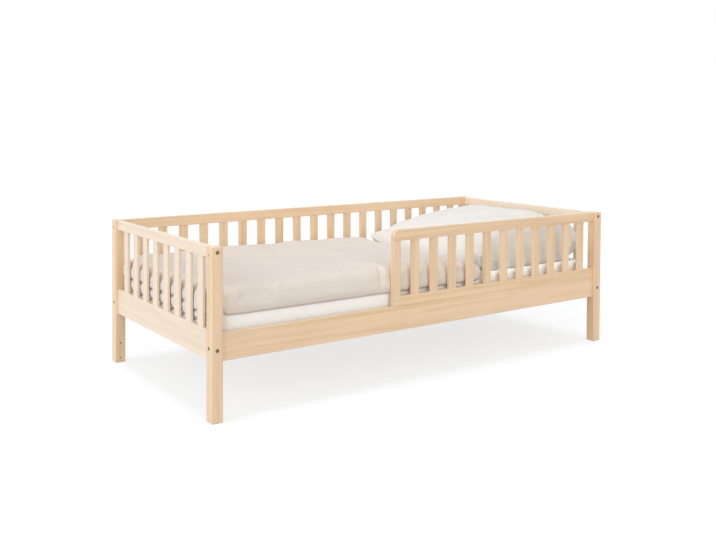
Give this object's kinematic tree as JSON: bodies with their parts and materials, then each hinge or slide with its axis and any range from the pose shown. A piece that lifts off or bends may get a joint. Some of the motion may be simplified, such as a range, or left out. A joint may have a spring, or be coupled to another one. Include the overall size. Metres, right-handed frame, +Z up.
{
  "type": "kids bed",
  "caption": "Low single bed for a child, with slatted head, foot and rear panels, a short front guard, slatted base, mattress, duvet and pillow.",
  "frame": {"origin": "on the floor, under the middle of the bed", "axes": "+X along the bed towards the head end, +Y across it towards the rear panel, +Z up"},
  "size_m": [2.09, 0.99, 0.63],
  "materials": {
    "beech": "solid beech, planed, edges eased, clear matt oil",
    "base_wood": "planed softwood, untreated",
    "dowel_wood": "turned hardwood",
    "strap_webbing": "woven polyester webbing",
    "bronzed_steel": "bronzed steel, satin",
    "zinc_steel": "zinc plated steel",
    "mattress_cover": "knitted mattress cover",
    "sheet_cotton": "cream cotton fitted sheet",
    "duvet_cotton": "washed cotton cover, warm beige",
    "pillow_cotton": "washed cotton pillow case, off-white"
  },
  "bodies": {
    "root": {"barrel_nuts": "zinc_steel", "base_slats": "base_wood", "base_straps": "strap_webbing", "connector_bolts": "bronzed_steel", "dowels": "dowel_wood", "foot_board": "beech", "foot_slat_01": "beech", "foot_slat_02": "beech", "foot_slat_03": "beech", "foot_slat_04": "beech", "foot_slat_05": "beech", "foot_slat_06": "beech", "foot_slat_07": "beech", "foot_slat_08": "beech", "foot_top_rail": "beech", "front_foot_post": "beech", "front_head_post": "beech", "front_ledger": "base_wood", "front_side_rail": "beech", "guard_lower_rail": "beech", "guard_slat_01": "beech", "guard_slat_02": "beech", "guard_slat_03": "beech", "guard_slat_04": "beech", "guard_slat_05": "beech", "guard_slat_06": "beech", "guard_slat_07": "beech", "guard_slat_08": "beech", "guard_slat_09": "beech", "guard_slat_10": "beech", "guard_slat_11": "beech", "guard_stile": "beech", "guard_top_rail": "beech", "head_board": "beech", "head_slat_01": "beech", "head_slat_02": "beech", "head_slat_03": "beech", "head_slat_04": "beech", "head_slat_05": "beech", "head_slat_06": "beech", "head_slat_07": "beech", "head_slat_08": "beech", "head_top_rail": "beech", "rear_foot_post": "beech", "rear_head_post": "beech", "rear_ledger": "base_wood", "rear_lower_rail": "beech", "rear_side_rail": "beech", "rear_slats_foot_half": "beech", "rear_slats_head_half": "beech", "rear_top_rail": "beech", "tie_bolts": "bronzed_steel", "top_rail_bolts": "bronzed_steel", "wood_screws": "zinc_steel"},
    "bed_mattress": {"mattress": "mattress_cover", "fitted_sheet": "sheet_cotton"},
    "bed_duvet": {"duvet": "duvet_cotton"},
    "bed_pillow": {"pillow": "pillow_cotton"}
  },
  "joints": [
    {"name": "mattress_lift", "type": "slide", "parent": "root", "child": "bed_mattress", "axis": [0, 0, 1], "range_m": [0, 0.4]},
    {"name": "duvet_lift", "type": "slide", "parent": "bed_mattress", "child": "bed_duvet", "axis": [0, 0, 1], "range_m": [0, 0.3]},
    {"name": "pillow_lift", "type": "slide", "parent": "bed_mattress", "child": "bed_pillow", "axis": [0, 0, 1], "range_m": [0, 0.3]}
  ]
}
